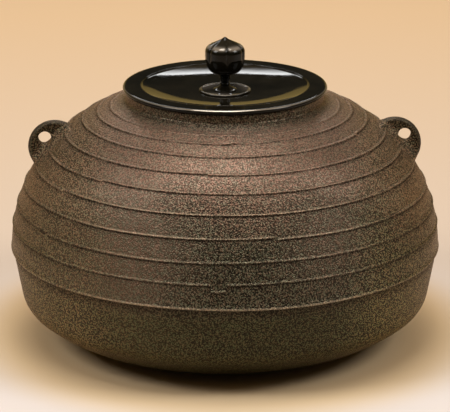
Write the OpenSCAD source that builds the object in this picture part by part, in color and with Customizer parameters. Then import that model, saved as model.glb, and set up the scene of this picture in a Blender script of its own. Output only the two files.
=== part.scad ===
// Chagama: a cast-iron tea kettle with raised lines, two ring lugs and a dished bronze lid.
// Millimetres, +Z up. The origin is the centre of the flat base.

/* [Kettle] */
// Diameter over the ridge at the widest point
body_d = 250; // [235:1:265]
// Height of the ridge above the base
ridge_z = 55; // [50:1:60]
// Rise of the shoulder from the ridge to the neck
shoulder_h = 85.4; // [80:0.2:90]
// Thickness of the casting
wall = 4; // [3:0.2:5]
// Diameter of the flat base
base_d = 125; // [100:1:140]
// Lean of the lower side, in degrees from upright
side_taper = 10.5; // [7:0.5:13]
// Radius of the lower corner
corner_r = 16.6; // [12:0.2:20]
// Height of the centre of the lower corner
corner_z = 31; // [28:0.5:34]

/* [Mouth] */
// Outside diameter of the upright neck
neck_d = 114; // [110:1:116]
// Height of the neck above the shoulder
neck_h = 6.2; // [5:0.2:8]
// Bore of the mouth
mouth_d = 103; // [98:1:105]
// Bevel on the two edges of the mouth
mouth_edge = 0.8; // [0.4:0.1:1.2]

/* [Raised lines] */
// Height of a raised line above the shoulder
line_h = 0.6; // [0.3:0.1:0.9]
// Width of a raised line
line_w = 1.6; // [1.2:0.1:2.4]
// Height of the ridge above the shoulder
ridge_h = 0.4; // [0.2:0.1:0.8]
// Radius of the ridge's rounded edge
ridge_r = 1; // [0.8:0.1:1.4]
// Set-back of the lower side under the ridge
ridge_step = 0.8; // [0.6:0.1:2]

/* [Ring lugs] */
// Radius of a lug
lug_r = 15.5; // [14:0.5:18]
// Distance of a lug above the ridge, along the shoulder
lug_along = 66.6; // [62:0.2:70]
// Depth of a lug's centre below the shoulder
lug_sink = 2.7; // [1:0.1:4]
// Thickness of a lug at its rounded rim
lug_rim_t = 6.6; // [6:0.2:8]
// Thickness of a lug beside its hole
lug_web_t = 5.2; // [4.6:0.2:5.8]
// Radius of the hollow curve that widens a lug to its foot
lug_flare_r = 8; // [6:0.5:10]
// Sweep of that curve, in degrees
lug_flare_a = 42; // [35:1:50]
// Diameter of the hole for a lifting ring
hole_d = 7.5; // [6:0.1:8.5]
// Height of the hole above the shoulder
hole_lift = 5.2; // [4.8:0.1:6]
// Hairline joint between a lug's foot and the shoulder
foot_gap = 0.05; // [0.02:0.01:0.1]

/* [Lid] */
// Diameter of the lid
lid_d = 118; // [116:1:126]
// Thickness of the rim
rim_t = 3; // [2.4:0.2:4]
// Diameter of the dish
dish_d = 96.6; // [88:0.2:100]
// Depth of the dish below the rim
dish_depth = 3.8; // [3:0.2:5.4]
// Height of the sharp lip round the dish
dish_lip = 0.6; // [0.3:0.1:1]
// Thickness of the dished plate
plate_t = 2.5; // [2:0.1:3.4]
// Depth of the ring that drops into the mouth
flange_h = 6; // [4:0.2:9]
// Thickness of that ring
flange_t = 3; // [2:0.2:4]
// Gap between that ring and the mouth
mouth_gap = 0.8; // [0.4:0.1:1.5]

/* [Knob] */
// Diameter of the fruit
fruit_d = 23; // [18:0.2:26]
// Height of the fruit below its widest point
fruit_low_h = 13.2; // [10:0.2:15]
// Radius of the fruit's shoulder
crown_r = 4.6; // [3:0.2:6]
// Slope of the fruit's top, in degrees
roof_a = 25; // [15:1:35]
// Height of the pip on the fruit
pip_h = 1.6; // [1:0.1:3]
// Diameter of the pip at its foot
pip_d = 4.6; // [3:0.2:6]
// Width of a groove in the fruit
groove_w = 0.8; // [0.5:0.1:1.2]
// Depth of a groove in the fruit
groove_depth = 0.5; // [0.3:0.1:0.8]
// Diameter of the stem where it is thinnest
stem_d = 4.9; // [4:0.1:5.8]
// Diameter of the stem at its top
stem_top_d = 6.4; // [5.8:0.1:6.8]
// Height of the stem between the foot and the fruit
stem_h = 8.8; // [7.4:0.1:11]
// Diameter of the upper collar on the stem
collar_d = 7.2; // [6.9:0.1:8]
// Diameter of the lower collar on the stem
low_collar_d = 6.2; // [5.8:0.1:7]
// Radius of the collars' rounded edge
collar_r = 0.8; // [0.5:0.1:1]
// Diameter of the stem's foot
foot_d = 13.4; // [10:0.2:15]
// Thickness of the foot at its edge
foot_t = 0.6; // [0.4:0.1:1]
// Height of the curve from the foot to the stem
foot_flare_h = 2.4; // [1.8:0.1:3]
// Diameter of the shank that passes through the lid
shank_d = 5; // [4:0.1:6]
// Gap round the shank in each hole
shank_gap = 0.1; // [0.05:0.05:0.2]

/* [Knob seat and washer] */
// Diameter of the saucer under the knob
seat_d = 29.8; // [25:0.2:33]
// Height of the saucer's rim
seat_h = 1.1; // [0.9:0.1:1.8]
// Thickness of the saucer's floor
seat_floor = 0.5; // [0.4:0.05:0.6]
// Width of the saucer's rim
seat_rim_w = 1.4; // [1:0.1:2]
// Diameter of the washer under the lid
washer_d = 13; // [11:0.2:18]
// Thickness of the washer
washer_t = 1.2; // [0.8:0.1:2]
// Diameter of the peened end of the shank
peen_d = 8.4; // [7:0.2:10]
// Height of the peened end
peen_h = 1.4; // [1:0.1:2]

/* [Sounding plates] */
// Length of a plate
sound_l = 24; // [18:0.5:28]
// Width of a plate
sound_w = 15; // [10:0.5:17]
// Thickness of a plate
sound_t = 2.2; // [1.6:0.1:3]
// Diameter of the rounding at a plate's ends
sound_end_d = 26; // [24:0.5:30]
// Diameter of the ring on which the plates lie
sound_ring_d = 68; // [60:1:80]
// Diameter of a spot of lacquer
bed_d = 12; // [8:0.5:14]
// Thickness of a spot of lacquer
bed_t = 1; // [0.6:0.1:1.5]

/* [Hidden] */
$fn = 96;
sound_count = 5;
groove_count = 6;

iron_colour = "#6a5948";
bare_iron_colour = "#3d3a36";
bronze_colour = "#1b1814";
lacquer_colour = "#24150e";

// Gaps along the shoulder from the ridge to the first line and so on up: ruled by eye, so uneven
line_gaps = [14.2, 12.1, 12.8, 13.8, 12.5, 12.5, 12, 10.8, 8.3];
// Plain shoulder left between the last line and the neck
line_clear = 5;
// Flat ring of the dish's floor left round the saucer
dish_land = 0.6;
// Length by which a cutting shape runs past what it cuts
cut_past = 1;

// The shoulder is one arc: upright at the ridge, and through the foot of the neck
shoulder_r = body_d / 2 - ridge_h;
neck_r = neck_d / 2;
mouth_r = mouth_d / 2;
shoulder_in = shoulder_r - neck_r;
arc_r = (shoulder_in * shoulder_in + shoulder_h * shoulder_h) / (2 * shoulder_in);
arc_c = [shoulder_r - arc_r, ridge_z];
neck_a = acos((neck_r - arc_c.x) / arc_r);
mouth_a = acos((mouth_r - arc_c.x) / (arc_r - wall));
neck_top = ridge_z + shoulder_h + neck_h;
ridge_a = acos(1 - ridge_h / ridge_r);

// A raised line is the cap of a small circle
bead_r = (line_h * line_h + line_w * line_w / 4) / (2 * line_h);
bead_a = asin(line_w / (2 * bead_r));
line_a = [
    for (i = [1:len(line_gaps)])
        let (a = arc_angle(sum_first(line_gaps, i)))
            if (a < neck_a - arc_angle(line_clear)) a
];
stops = concat([0], line_a, [neck_a]);

// The lower side leans in to a corner arc, which runs on as the hollow-sided bowl of the underside
base_r = base_d / 2;
side_top = [shoulder_r - ridge_step, ridge_z - ridge_r];
side_l = (side_top.y + corner_r * sin(side_taper) - corner_z) / cos(side_taper);
corner_c = side_top - side_l * [sin(side_taper), cos(side_taper)]
    + corner_r * [-cos(side_taper), sin(side_taper)];
under_r = (pow(corner_c.x - base_r, 2) + pow(corner_c.y, 2) - pow(corner_r, 2))
    / (2 * (corner_c.y - corner_r));
under_c = [base_r, under_r];
under_a = atan2(corner_c.y - under_r, corner_c.x - base_r);

// Sector of the shoulder that a lug's foot is shaped to
foot_sweep = 60;
lug_a = arc_angle(lug_along);
lug_rim_r = lug_rim_t / 2;
lug_rim_x = lug_r - lug_rim_r;
lug_rim_a = 180 - asin(lug_web_t / lug_rim_t);
lug_flare_x = lug_rim_x - lug_rim_r * cos(asin(lug_web_t / lug_rim_t));

// Heights in the lid, measured from the top of the neck
lid_r = lid_d / 2;
dish_r = dish_d / 2;
floor_z = rim_t - dish_depth;
dish_z = rim_t - dish_lip;
flange_r = mouth_r - mouth_gap;
flange_in_r = flange_r - flange_t;
land_r = seat_d / 2 + dish_land;
dish_power = 2.6; // the dish is nearly flat in the middle and steepest at its lip
under_floor_z = floor_z - plate_t;
bore_r = shank_d / 2 + shank_gap;

// Heights on the knob, measured from the underside of its foot
fruit_r = fruit_d / 2;
fruit_z = foot_t + stem_h + fruit_low_h;
fruit_power = 2 / 3.2; // the fruit's lower half lies between a ball and a block
pip_power = 1.6; // the pip's side is hollow
flare_power = 1.6; // and so is the foot's
crown_c = [fruit_r - crown_r, fruit_z];
crown_a = 90 - roof_a;
stem_r = stem_d / 2;
collar_z = fruit_z - fruit_low_h - collar_r;
low_collar_z = foot_t + foot_flare_h + collar_r;
grip_l = seat_floor + plate_t + washer_t;
knob_z = neck_top + floor_z + seat_floor;

// Points along an arc, in degrees; first is 1 where the run before it already ends at its start
function arc(c, r, a0, a1, n, first = 0) =
    [for (i = [first:n]) let (a = a0 + (a1 - a0) * i / n) c + r * [cos(a), sin(a)]];
function reversed(list) = [for (i = [len(list) - 1:-1:0]) list[i]];
function sum_first(list, n) = n == 0 ? 0 : list[n - 1] + sum_first(list, n - 1);
function arc_angle(length) = length / arc_r * 180 / PI;
function on_shoulder(a, out = 0) = arc_c + (arc_r + out) * [cos(a), sin(a)];
// A raised line and the plain shoulder between two lines, grown outwards by a gap
function bead(a, gap) =
    arc(on_shoulder(a, line_h - bead_r), bead_r + gap, a - bead_a, a + bead_a, 4);
function plain(a0, a1, gap) = [for (k = [1, 2]) on_shoulder(a0 + (a1 - a0) * k / 3, gap)];
// The fruit's side, sunk by depth: from a degrees below its widest point, round its shoulder and up
// its top to a radius of top_r
function fruit_side(a, top_r, depth = 0) =
    let (
        r = crown_r - depth,
        roof = crown_c + r * [cos(crown_a), sin(crown_a)],
        length = (roof.x - top_r) / cos(roof_a),
        steps = 10
    )
    concat(
        [
            for (i = [0:steps - 1])
                let (b = a * (1 - i / steps))
                [
                    (fruit_r - depth) * pow(cos(b), fruit_power),
                    fruit_z - (fruit_low_h - depth) * pow(sin(b), fruit_power)
                ]
        ],
        arc(crown_c, r, 0, crown_a, 5),
        [roof + length * [-cos(roof_a), sin(roof_a)]]
    );

function shoulder_outline(gap = 0) = concat(
    arc([shoulder_r + ridge_h - ridge_r, ridge_z], ridge_r + gap, -90, ridge_a, 4),
    [
        for (i = [1:len(line_a)])
            each concat(plain(stops[i - 1], stops[i], gap), bead(stops[i], gap))
    ],
    plain(stops[len(line_a)], neck_a, gap),
    [on_shoulder(neck_a, gap)]
);

function outside() = concat(
    [[0, 0]],
    arc(under_c, under_r, -90, under_a, 8),
    arc(corner_c, corner_r, under_a, -side_taper, 6, 1),
    [side_top],
    shoulder_outline(),
    [[neck_r, neck_top - mouth_edge], [neck_r - mouth_edge, neck_top]]
);

function inside() = concat(
    [[0, wall]],
    arc(under_c, under_r - wall, -90, under_a, 8),
    arc(corner_c, corner_r - wall, under_a, -side_taper, 4, 1),
    arc(arc_c, arc_r - wall, 0, mouth_a, 14),
    [[mouth_r, neck_top - mouth_edge], [mouth_r + mouth_edge, neck_top]]
);

module kettle_body() {
    color(iron_colour)
        rotate_extrude()
            polygon(concat(outside(), reversed(inside())));
}

// The lug's own frame: on the shoulder's surface at the lug, with X straight out of it
module at_lug(out) {
    translate([arc_c.x, 0, arc_c.y])
        rotate([0, -lug_a, 0])
            translate([arc_r + out, 0, 0])
                rotate([90, 0, 0])
                    children();
}

// Half of a lug's section through its own centre: foot, hollow flare, rounded rim
function lug_half() = concat(
    arc(
        [lug_flare_x, lug_web_t / 2 + lug_flare_r], lug_flare_r,
        -90 - lug_flare_a, -90, 5
    ),
    arc([lug_rim_x, 0], lug_rim_r, lug_rim_a, 0, 6, 1)
);
function lug_section() =
    let (half = lug_half(), low = [for (p = reversed(half)) [p.x, -p.y]])
    concat([[0, half[0].y]], half, [for (i = [1:len(low) - 1]) low[i]], [[0, -half[0].y]]);

module ring_lug() {
    color(iron_colour)
        difference() {
            at_lug(-lug_sink)
                rotate([0, 0, 180])
                    rotate_extrude()
                        polygon(lug_section());
            rotate([0, 0, -foot_sweep / 2])
                rotate_extrude(angle = foot_sweep)
                    polygon(concat(
                        [arc_c],
                        shoulder_outline(foot_gap),
                        [[arc_c.x, ridge_z + shoulder_h]]
                    ));
            at_lug(hole_lift)
                cylinder(d = hole_d, h = 4 * lug_r, center = true);
        }
}

module right_lug() {
    ring_lug();
}

module left_lug() {
    mirror([1, 0, 0])
        ring_lug();
}

// Points on the dish from its flat middle out to a radius, lowered by depth
function dish_side(out_r, depth) =
    let (steps = 10)
    [
        for (i = [0:steps])
            let (r = land_r + (out_r - land_r) * i / steps)
            [
                r,
                floor_z - depth + (dish_z - floor_z) * pow((r - land_r) / (dish_r - land_r), dish_power)
            ]
    ];

module lid() {
    edge_r = rim_t / 2;
    color(bronze_colour)
        translate([0, 0, neck_top])
            rotate_extrude()
                polygon(concat(
                    [[bore_r, floor_z]],
                    dish_side(dish_r, 0),
                    [[dish_r, rim_t]],
                    arc([lid_r - edge_r, edge_r], edge_r, 90, -90, 8),
                    [[flange_r, 0], [flange_r, -flange_h], [flange_in_r, -flange_h]],
                    reversed(dish_side(flange_in_r, plate_t)),
                    [[bore_r, under_floor_z]]
                ));
}

// A shallow saucer: a rounded rim, and a hollow that runs down to the knob's foot
module knob_seat() {
    seat_r = seat_d / 2;
    rim_r = seat_rim_w / 2;
    rim = arc([seat_r - rim_r, seat_h - rim_r], rim_r, 0, 150, 6);
    edge = rim[len(rim) - 1];
    land = [foot_d / 2, seat_floor];
    color(bronze_colour)
        translate([0, 0, neck_top + floor_z])
            rotate_extrude()
                polygon(concat(
                    [[bore_r, 0], [seat_r - rim_r, 0]],
                    rim,
                    [
                        for (s = [0.75:-0.25:0])
                            [land.x + (edge.x - land.x) * s, land.y + (edge.y - land.y) * s * s]
                    ],
                    [[bore_r, seat_floor]]
                ));
}

// One groove down the fruit, from its pip to a little below its widest point
module groove() {
    low_a = 36;
    top_r = pip_d / 2 + groove_w;
    rotate([90, 0, 0])
        linear_extrude(groove_w, center = true)
            polygon(concat(
                fruit_side(low_a, top_r, groove_depth),
                reversed(fruit_side(low_a, top_r, -groove_depth))
            ));
}

module knob() {
    low_a = 82;
    pip_r = pip_d / 2;
    side = fruit_side(low_a, pip_r);
    pip_z = side[len(side) - 1].y;
    color(bronze_colour)
        translate([0, 0, knob_z])
            difference() {
                rotate_extrude()
                    polygon(concat(
                        [[0, -grip_l - peen_h]],
                        [
                            for (a = [30:30:90])
                                [peen_d / 2 * sin(a), -grip_l - peen_h * cos(a)]
                        ],
                        [[shank_d / 2, -grip_l], [shank_d / 2, 0], [foot_d / 2, 0]],
                        [
                            for (s = [0:0.2:1])
                                [
                                    foot_d / 2 - (foot_d - stem_d) / 2 * s,
                                    foot_t + foot_flare_h * pow(s, flare_power)
                                ]
                        ],
                        arc([low_collar_d / 2 - collar_r, low_collar_z], collar_r, -90, 90, 4),
                        [[stem_r, low_collar_z + collar_r], [stem_top_d / 2, collar_z - collar_r]],
                        arc([collar_d / 2 - collar_r, collar_z], collar_r, -90, 90, 4),
                        side,
                        [
                            for (s = [0.2:0.2:1])
                                [pip_r * pow(1 - s, pip_power), pip_z + pip_h * s]
                        ]
                    ));
                for (i = [0:groove_count - 1])
                    rotate([0, 0, 360 / groove_count * i - 90])
                        groove();
            }
}

module under_washer() {
    color(bronze_colour)
        translate([0, 0, neck_top + under_floor_z - washer_t])
            difference() {
                cylinder(d = washer_d, h = washer_t);
                translate([0, 0, -cut_past])
                    cylinder(r = bore_r, h = washer_t + 2 * cut_past);
            }
}

module on_ring(i) {
    rotate([0, 0, 90 + 360 / sound_count * (i - 1)])
        translate([sound_ring_d / 2, 0, wall])
            children();
}

module lacquer_bed(i) {
    color(lacquer_colour)
        on_ring(i)
            cylinder(d = bed_d, h = bed_t);
}

module sounding_plate(i) {
    color(bare_iron_colour)
        on_ring(i)
            translate([0, 0, bed_t])
                linear_extrude(sound_t)
                    intersection() {
                        square([sound_w, sound_l], center = true);
                        circle(d = sound_end_d);
                    }
}

kettle_body();
left_lug();
right_lug();
lid();
knob_seat();
knob();
under_washer();
for (i = [1:sound_count]) {
    sounding_plate(i);
    lacquer_bed(i);
}
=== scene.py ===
import math

import bpy
import numpy as np
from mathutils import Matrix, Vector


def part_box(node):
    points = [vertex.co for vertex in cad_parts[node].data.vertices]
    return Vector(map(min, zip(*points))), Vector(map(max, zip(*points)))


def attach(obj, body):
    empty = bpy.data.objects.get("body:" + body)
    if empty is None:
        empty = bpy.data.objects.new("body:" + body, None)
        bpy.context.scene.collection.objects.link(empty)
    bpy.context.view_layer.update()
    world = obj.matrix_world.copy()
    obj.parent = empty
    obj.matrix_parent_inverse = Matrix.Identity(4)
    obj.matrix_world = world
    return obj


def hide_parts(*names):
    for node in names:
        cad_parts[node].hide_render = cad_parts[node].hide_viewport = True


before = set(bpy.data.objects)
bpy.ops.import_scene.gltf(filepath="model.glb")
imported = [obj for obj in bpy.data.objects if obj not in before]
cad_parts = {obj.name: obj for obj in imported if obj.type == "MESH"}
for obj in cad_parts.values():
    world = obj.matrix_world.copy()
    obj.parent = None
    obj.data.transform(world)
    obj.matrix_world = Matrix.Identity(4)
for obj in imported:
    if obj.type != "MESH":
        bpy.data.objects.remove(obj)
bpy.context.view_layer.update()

# All sizes are metres and all angles degrees; the kettle stands on z = 0, and its lugs are on X.
print("frame loaded:", len(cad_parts), "nodes")


def arcRun(centre, radius, startAngle, endAngle, count):
    # points on a circle: centre plus radius times (cosine, sine) of evenly spaced angles
    angle = np.radians(np.linspace(startAngle, endAngle, count))
    return np.stack([centre[0] + radius * np.cos(angle), centre[1] + radius * np.sin(angle)], axis=1)


def straightRun(start, end, count):
    # points evenly spaced from start to end, both included
    return np.linspace(np.asarray(start, float), np.asarray(end, float), count)


def runTogether(*runs, samePoint=1e-7):
    # one outline from several runs, without the point that two neighbours share
    points = np.concatenate([np.asarray(run, float).reshape(-1, 2) for run in runs])
    step = np.hypot(*np.diff(points, axis=0).T)
    return points[np.concatenate([[True], step > samePoint])]


def shareAngles(count):
    # one full turn in equal shares, in radians
    return np.arange(count) * 2 * math.pi / count


def spinOutline(radius, height, turn):
    # a turned surface: (radius cos turn, radius sin turn, height), one row for each outline point
    radius = np.broadcast_to(radius, (radius.shape[0], turn.size))
    height = np.broadcast_to(height, radius.shape)
    return np.stack([radius * np.cos(turn), radius * np.sin(turn), height], axis=2)


def hill(value, middle, width):
    # a smooth hill: e to the power of minus the square of the way from its middle, in widths
    return np.exp(-((value - middle) / width) ** 2)


def slope(value, start, end):
    # a straight slope: nothing at start and before it, one at end and beyond it
    return np.clip((value - start) / (end - start), 0, 1)


def softNoise(turn, seed, waves):
    # a few sine waves round the turn with seeded phases, scaled to about plus or minus one
    rng = np.random.default_rng(seed)
    phase = rng.uniform(0, 2 * math.pi, len(waves))
    size = rng.uniform(0.5, 1.0, len(waves))
    return (size[:, None] * np.sin(np.outer(waves, turn) + phase[:, None])).sum(axis=0) / size.sum()


def signedVolume(points, faces):
    # a sixth of the sum of corner triple products, over fans of each face: positive if faces look out
    first = points[faces[:, 0]]
    total = 0.0
    for k in range(1, faces.shape[1] - 1):
        total += np.einsum("ij,ij->", first, np.cross(points[faces[:, k]], points[faces[:, k + 1]]))
    return total / 6


def gridPiece(name, rows, ends, marks):
    # A grid whose columns close round the axis. Its rows close on themselves (ends="loop"), or its
    # first and last row are single points on the axis (ends="poles").
    rowCount, columnCount = rows.shape[:2]
    column = np.arange(columnCount)
    beside = np.roll(column, -1)
    if ends == "loop":
        points = rows.reshape(-1, 3)
        start = np.arange(rowCount)[:, None] * columnCount
        above = np.roll(start, -1, axis=0)
        fans = np.zeros((0, 3), int)
    else:
        points = np.concatenate([rows[1:-1].reshape(-1, 3), rows[0, :1], rows[-1, :1]])
        start = np.arange(rowCount - 3)[:, None] * columnCount
        above = start + columnCount
        lastRing = (rowCount - 3) * columnCount
        pole = np.full(columnCount, len(points) - 2)
        low = np.stack([pole, beside, column], axis=1)
        high = np.stack([pole + 1, lastRing + column, lastRing + beside], axis=1)
        fans = np.concatenate([low, high])
    quads = np.stack([start + column, start + beside, above + beside, above + column], axis=2)
    quads = quads.reshape(-1, 4)
    if signedVolume(points, quads) + signedVolume(points, fans) < 0:
        quads = quads[:, ::-1]
        fans = fans[:, ::-1]
    mesh = bpy.data.meshes.new(name)
    mesh.from_pydata(points.tolist(), [], quads.tolist() + fans.tolist())
    mesh.polygons.foreach_set("use_smooth", np.ones(len(mesh.polygons), bool))
    for mark, values in marks.items():
        if ends == "poles":
            values = np.concatenate([values[1:-1].ravel(), values[0, :1], values[-1, :1]])
        layer = mesh.attributes.new(mark, "FLOAT", "POINT")
        layer.data.foreach_set("value", np.asarray(values, np.float32).ravel())
    mesh.update()
    piece = bpy.data.objects.new(name, mesh)
    bpy.context.collection.objects.link(piece)
    print("made", name, "with", len(quads) * 2 + len(fans), "triangles")
    return piece


kettle = {
    "ridgeRadius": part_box("kettle_body")[1][0],
    "ridgeHeight": 0.055,
    "ridgeProud": 0.0004,
    "ridgeRound": 0.001,
    "ridgeStep": 0.0008,
    "ridgeWander": 0.0004,
    "ridgeWaves": (1, 2, 4, 7),
    "ridgeSeed": 5,
    # ridge wear and shade: above nothing, wear and a painted highlight on the ridge's crest; below it,
    # painted shade in the angle under the ridge
    "ridgeWearAndShade": (-1.0, -1.0, -0.8, -0.1, 0.8, 1.0, 0.6, 0.0),  # from the row under the ridge up
    "ridgeSideLoss": 0.75,  # share of its wear that is missing at the sides
    "shoulderRise": 0.0854,
    "neckRadius": 0.057,
    "neckTop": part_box("kettle_body")[1][2],
    "neckFillet": 0.0016,
    "filletStart": -115,
    "filletLift": 1.25,  # its centre and its top over the neck's foot, in fillet radii
    "filletTop": 1.6,
    "mouthRadius": 0.0515,
    "mouthEdge": 0.0008,
    "wall": 0.004,
    "baseRadius": 0.0625,
    "sideTaper": 10.5,
    "cornerRadius": 0.0166,
    "cornerHeight": 0.031,
    "lattice": 2240,  # places for columns round the pot
    "every": 8,  # the places taken, apart from each one within joinReach (radians) of a join
    "joinReach": 0.062,
    "unevenness": 0.00025,
    "unevenWaves": (2, 3, 5),
    "unevenSeed": 3,
    "sideZone": (0.45, 0.75),  # where the front turns into a side, as a cosine of the turn
    # the pale patches are a painted sheen, full on the left and half on the right
    "paleAside": (0.055, 0.026),  # middle and width of the two pale patches, aside and up
    "paleHeight": (0.094, 0.026),
    "paleShare": (1.0, 0.5),  # left and right
    "leftLightAside": (-0.076, 0.035),  # middle and width of the patch of painted light on the left of the front
    "leftLightBelow": (0.108, 0.078),  # height where it ends, and where it is full
}

# The first lists have one entry for each raised line, from the ridge up: how far it lies above the one
# below it, where its thread was joined (from the front), how far the ends miss each other there, how
# much higher or lower the wax is at the join, how wide that blob is, how high the line stands, how far
# its crest is rubbed bare and lightened, as wear and a painted highlight, at the front and at the sides,
# and how dark the painted shade in the angle under it is in front.
lines = {
    "gap": (0.0142, 0.0121, 0.0122, 0.0137, 0.0124, 0.0126, 0.0127, 0.0101, 0.0079),
    "joinAt": (-3.75, -58, 12, -58, -44, -8, 62, 0.5, 118),
    "joinMiss": (0.0, -0.0011, -0.0012, 0.0008, 0.0008, -0.0007, 0.0008, 0.0007, 0.0006),
    "joinBlob": (0.25, -0.9, -0.9, 0.6, 0.5, 0.5, -0.9, 1.3, -0.8),
    "blobWidth": (0.0014, 0.0010, 0.0011, 0.0015, 0.0016, 0.0013, 0.0010, 0.0030, 0.0012),
    "height": (0.00062, 0.00062, 0.00066, 0.00064, 0.00062, 0.00062, 0.00058, 0.00050, 0.00034),
    "worn": (0.45, 0.58, 1.2, 1.1, 0.5, 0.42, 0.36, 0.5, 0.25),
    "wornSide": (0.25, 0.3, 0.5, 0.55, 0.6, 0.65, 0.65, 0.5, 0.3),
    "shaded": (1, 1, 1, 1, 0.75, 0.65, 0.65, 0.8, 0.8),
    "halfWidth": 0.0008,
    "rows": (-2.0, -1.3, -1, -0.8, -0.45, 0, 0.45, 0.85, 1.05, 1.7),  # across a line, in half widths
    "between": (0.33, 0.67),  # shares of the way to the next line
    "wander": 0.00035,
    "wanderWaves": (1, 2, 3, 5, 9),
    "wanderSeed": 11,
    "varies": 0.34,  # how much its height varies
    "variesWaves": (3, 7, 13, 22, 41),
    "variesSeed": 31,
    "least": 0.05,
    "pieceHalf": 2.05,  # the broken piece of the lowest line: half its length, and how far it dropped
    "pieceDrop": 0.0038,
    "pieceStep": (1.08, 0.92),  # in half lengths from its middle
    "pieceGap": 0.2,
    "topPatches": (0.75, 0.6),  # middle and swing of the share of the top line that is left
    "topWaves": (1, 2, 4),
    "topSeed": 77,
    "crestAt": (0.35, 0.5),  # across the line: at the ridge, and how much lower on level ground
    "crestWidth": 0.36,
    "footAt": -1.0,
    "footWidth": (0.70, 1.0),  # at the front and at the sides
    "mostRelief": 1.2,
}


def shoulderArc():
    # the arc that is upright at the ridge and passes through the neck's foot; its radius is
    # (in squared + rise squared) / (2 in)
    outer = kettle["ridgeRadius"] - kettle["ridgeProud"]
    inward = outer - kettle["neckRadius"]
    radius = (inward ** 2 + kettle["shoulderRise"] ** 2) / (2 * inward)
    centre = np.array([outer - radius, kettle["ridgeHeight"]])
    neckAngle = math.degrees(math.acos((kettle["neckRadius"] - centre[0]) / radius))
    return centre, radius, neckAngle


def lowerArcs():
    # The corner arc touches the leaning side, and the underside's arc touches the corner and the base.
    lean = math.radians(kettle["sideTaper"])
    top = np.array([
        kettle["ridgeRadius"] - kettle["ridgeProud"] - kettle["ridgeStep"],
        kettle["ridgeHeight"] - kettle["ridgeRound"],
    ])
    r = kettle["cornerRadius"]
    length = (top[1] + r * math.sin(lean) - kettle["cornerHeight"]) / math.cos(lean)
    corner = top - length * np.array([math.sin(lean), math.cos(lean)])
    corner = corner + r * np.array([-math.cos(lean), math.sin(lean)])
    across = corner[0] - kettle["baseRadius"]
    under = (across ** 2 + corner[1] ** 2 - r ** 2) / (2 * (corner[1] - r))
    underAngle = math.degrees(math.atan2(corner[1] - under, across))
    return top, corner, np.array([kettle["baseRadius"], under]), under, underAngle


def kettleOutlines():
    # Runs of arcs and straight lines: the outside up to the ridge, with the share of the ridge's drift
    # that each of its points follows; the neck and the mouth; and the inside down to its middle.
    arcCentre, arcRadius, neckAngle = shoulderArc()
    sideTop, corner, underCentre, under, underAngle = lowerArcs()
    base = kettle["baseRadius"]
    taper = kettle["sideTaper"]
    wall = kettle["wall"]
    rounded = runTogether(
        straightRun((0, 0), (base, 0), 4),
        arcRun(underCentre, under, -90, underAngle, 10),
        arcRun(corner, kettle["cornerRadius"], underAngle, -taper, 9),
    )
    side = straightRun(rounded[-1], sideTop, 5)[1:]
    ridgeTurn = math.degrees(math.acos(1 - kettle["ridgeProud"] / kettle["ridgeRound"]))
    ridgeMiddle = (kettle["ridgeRadius"] - kettle["ridgeRound"], kettle["ridgeHeight"])
    ridge = arcRun(ridgeMiddle, kettle["ridgeRound"], -90, ridgeTurn, 7)
    lower = np.concatenate([rounded, side, ridge])
    rising = np.linspace(0, 1, len(side) + 1)[1:]
    follow = np.concatenate([np.zeros(len(rounded)), rising, np.ones(len(ridge))])

    neckFoot = arcCentre + arcRadius * np.array([
        math.cos(math.radians(neckAngle)), math.sin(math.radians(neckAngle)),
    ])
    fillet = kettle["neckFillet"]
    filletCentre = neckFoot + np.array([fillet, fillet * kettle["filletLift"]])
    neck = kettle["neckRadius"]
    mouth = kettle["mouthRadius"]
    edge = kettle["mouthEdge"]
    top = kettle["neckTop"]
    upper = runTogether(
        arcRun(filletCentre, fillet, kettle["filletStart"], -180, 6),
        straightRun((neck, neckFoot[1] + fillet * kettle["filletTop"]), (neck, top - edge), 3),
        arcRun((neck - edge, top - edge), edge, 0, 90, 5),
        arcRun((mouth + edge, top - edge), edge, 90, 180, 5),
    )
    mouthAngle = math.degrees(math.acos((mouth - arcCentre[0]) / (arcRadius - wall)))
    mouthFoot = arcCentre[1] + (arcRadius - wall) * math.sin(math.radians(mouthAngle))
    inside = runTogether(
        straightRun((mouth, top - 2 * edge), (mouth, mouthFoot), 3),
        arcRun(arcCentre, arcRadius - wall, mouthAngle, 0, 15),
        arcRun(corner, kettle["cornerRadius"] - wall, -taper, underAngle, 7),
        arcRun(underCentre, under - wall, underAngle, -90, 7),
        straightRun((base, wall), (0, wall), 4),
    )
    return lower, follow, upper, inside


def kettleColumns():
    # columns lie on a fine lattice: each one near a join of a line, and every eighth one elsewhere
    turn = shareAngles(kettle["lattice"])
    joinTurn = np.radians(np.array(lines["joinAt"]) - 90)  # the front is at -90 degrees
    toJoin = np.abs((turn[:, None] - joinTurn + math.pi) % (2 * math.pi) - math.pi).min(axis=1)
    taken = (np.arange(turn.size) % kettle["every"] == 0) | (toJoin < kettle["joinReach"])
    return turn[taken], joinTurn


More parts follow.
